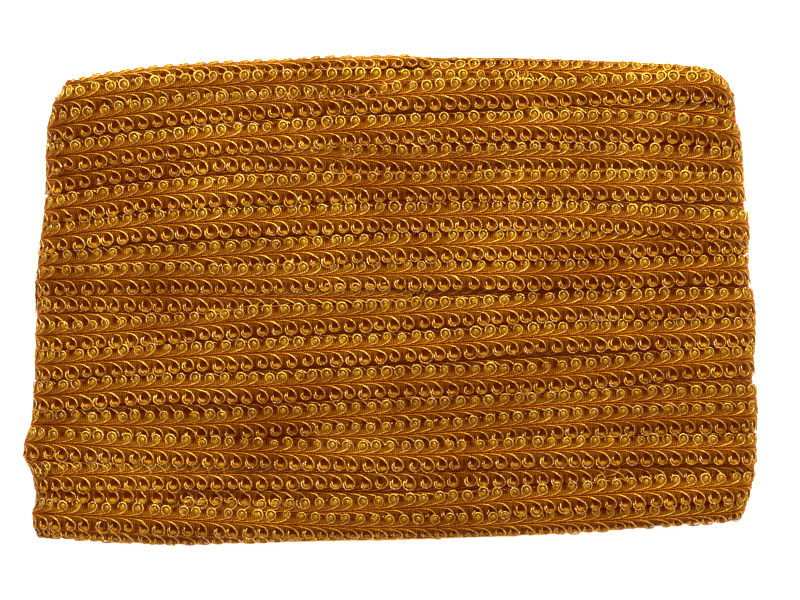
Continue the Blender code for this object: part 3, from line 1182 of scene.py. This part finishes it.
class BRAID_OT_inner_layers(bpy.types.Operator):
    """Model the body of inner layers that fills the bundle under its outer turns"""

    bl_idname = "braid.inner_layers"
    bl_label = "Inner layers"

    def execute(self, context):
        deselect_all()
        bpy.ops.mesh.primitive_cube_add(size=2.0, location=(0.0, 0.0, 0.0))
        body = bpy.context.object
        body.name = "inner_layers"
        body.data.name = "inner_layers"
        bpy.ops.object.mode_set(mode="EDIT")
        bpy.ops.mesh.select_all(action="SELECT")
        bpy.ops.mesh.subdivide(number_cuts=BODY_CUTS)
        bpy.ops.object.mode_set(mode="OBJECT")
        cube = points_of(body.data)
        x = cube[:, 0] * (HALF_WIDTH - FOLD_RADIUS)
        around = cube[:, 2] * math.pi / 2.0
        # Which of the cube's sides each point is on, as -1, 0 or 1 along each axis
        at_fold, at_edge, _ = np.where(np.isclose(np.abs(cube), 1.0), np.sign(cube), 0.0).T
        corner = 1.0 - BODY_CORNER * np.abs(at_edge * at_fold)
        # X and Y depend on each other, so they are found in three rounds
        for _ in range(3):
            far, near = flat_between(x)
            y = near + (far - near) * (cube[:, 1] + 1.0) / 2.0
            y = y + at_edge * corner * np.cos(around) * (END_RADIUS - BODY_EDGE_DEPTH)
            left = np.interp(y, *LEFT_FOLD) + FOLD_RADIUS
            right = np.interp(y, *RIGHT_FOLD) - FOLD_RADIUS
            x = left + (right - left) * (cube[:, 0] + 1.0) / 2.0
        above = MIDDLE + crown_at(x, y) * (cube[:, 2] > 0.0) - BODY_DEPTH
        x = x + at_fold * corner * np.cos(around) * (FOLD_RADIUS - BODY_FOLD_DEPTH)
        z = MIDDLE + np.sin(around) * above
        laid = np.stack((x, y, z), axis=-1)
        body.data.vertices.foreach_set("co", laid.astype(np.float32).ravel())
        body.data.materials.append(inner_layers_material())
        body.data.shade_smooth()
        body.data.update()
        finish_piece(body)
        return {"FINISHED"}


# The camera looks straight down, a little to the right of the bundle's middle
CAMERA_X = 2.45 * MM
CAMERA_Y = 0.1 * MM
SENSOR_WIDTH = 36.0

# Even light from all round, and a wide soft lamp high over the far side
ROOM_LIGHT = 0.68
LAMP_PLACE = (0.06, 0.49, 0.60)
LAMP_WIDTH = 0.8
LAMP_HEIGHT = 0.4
LAMP_POWER = 11.2
FLOOR_SIZE = 4.0


class BRAID_OT_stage(bpy.types.Operator):
    """Set out the floor, the soft lights and the camera above the bundle"""

    bl_idname = "braid.stage"
    bl_label = "Stage"

    def execute(self, context):
        stage = context.scene.braid_stage
        deselect_all()
        bpy.ops.mesh.primitive_plane_add(size=FLOOR_SIZE, location=(0.0, 0.0, 0.0))
        floor = context.object
        floor.name = "floor"
        floor.data.materials.append(lit_acrylic_material(stage.floor))

        world = bpy.data.worlds.new("soft_room")
        world.use_nodes = True
        sky = world.node_tree.nodes["Background"]
        sky.inputs["Color"].default_value = (1.0, 1.0, 1.0, 1.0)
        sky.inputs["Strength"].default_value = ROOM_LIGHT
        context.scene.world = world

        bpy.ops.object.light_add(type="AREA", location=LAMP_PLACE)
        lamp = context.object
        lamp.name = "window_light"
        lamp.data.shape = "RECTANGLE"
        lamp.data.size = LAMP_WIDTH
        lamp.data.size_y = LAMP_HEIGHT
        lamp.data.energy = LAMP_POWER
        aim = -lamp.location.normalized()
        lamp.rotation_mode = "QUATERNION"
        lamp.rotation_quaternion = aim.to_track_quat("-Z", "Y")

        distance = stage.width_seen * stage.lens / SENSOR_WIDTH
        place = (CAMERA_X, CAMERA_Y, MIDDLE + distance)
        bpy.ops.object.camera_add(location=place, rotation=(0.0, 0.0, 0.0))
        camera = context.object
        camera.name = "camera"
        camera.data.lens = stage.lens
        context.scene.camera = camera
        context.scene.view_settings.view_transform = "Standard"
        return {"FINISHED"}


class BRAID_PT_panel(bpy.types.Panel):
    """Lists the steps that build the bundle"""

    bl_label = "Wound Gimp Braid"
    bl_idname = "BRAID_PT_panel"
    bl_space_type = "VIEW_3D"
    bl_region_type = "UI"
    bl_category = "Braid"

    def draw(self, context):
        scene = context.scene
        for group in (scene.braid_sizes, scene.braid_colours, scene.braid_stage):
            for name in group.bl_rna.properties.keys():
                if name not in ("name", "rna_type"):
                    self.layout.prop(group, name)
        for step in OPERATORS:
            self.layout.operator(step.bl_idname)


GROUPS = (BraidSizes, BraidColours, StageSettings)
OPERATORS = (
    BRAID_OT_inner_layers,
    BRAID_OT_sunken_turns,
    BRAID_OT_outer_turns,
    BRAID_OT_stage,
)


def register():
    for entry in (*GROUPS, *OPERATORS, BRAID_PT_panel):
        bpy.utils.register_class(entry)
    bpy.types.Scene.braid_sizes = bpy.props.PointerProperty(type=BraidSizes)
    bpy.types.Scene.braid_colours = bpy.props.PointerProperty(type=BraidColours)
    bpy.types.Scene.braid_stage = bpy.props.PointerProperty(type=StageSettings)


def unregister():
    del bpy.types.Scene.braid_stage
    del bpy.types.Scene.braid_colours
    del bpy.types.Scene.braid_sizes
    for entry in reversed((*GROUPS, *OPERATORS, BRAID_PT_panel)):
        bpy.utils.unregister_class(entry)


def main():
    register()
    bpy.ops.braid.inner_layers()
    bpy.ops.braid.sunken_turns()
    bpy.ops.braid.outer_turns()
    bpy.ops.braid.stage()


if __name__ == "__main__":
    main()
